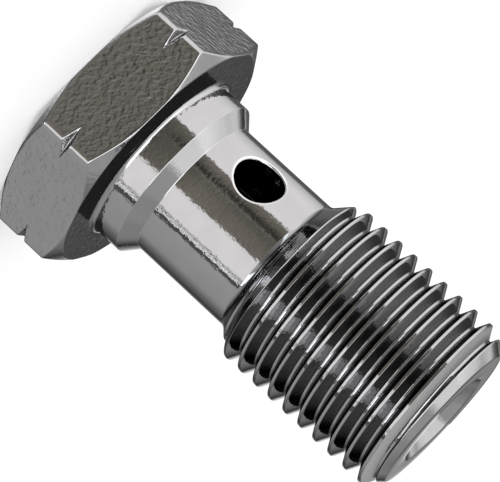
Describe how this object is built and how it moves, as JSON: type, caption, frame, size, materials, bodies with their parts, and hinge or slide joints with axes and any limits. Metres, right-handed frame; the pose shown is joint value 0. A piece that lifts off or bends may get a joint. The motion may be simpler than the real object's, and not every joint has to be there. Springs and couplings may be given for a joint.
{
  "type": "banjo bolt",
  "caption": "Hollow hexagon-head banjo bolt of plated steel: centring collar, neck with a cross hole, fine metric thread and a countersunk passage open at the tip",
  "frame": {"origin": "Centre of the flat top of the head, on which the bolt stands, so the origin is the centre of the bottom of its box", "axes": "+Z runs along the bolt's axis from the head to the open tip. +X is the axis of the cross hole and points at a corner of the hexagon. Y is square to two flats"},
  "size_m": [0.0156, 0.0134, 0.0234],
  "materials": {
    "plated_steel": "thin grey zinc plating, half gloss, over turned and cold-formed steel"
  },
  "bodies": {
    "root": {"banjo_bolt": "plated_steel"}
  },
  "joints": []
}
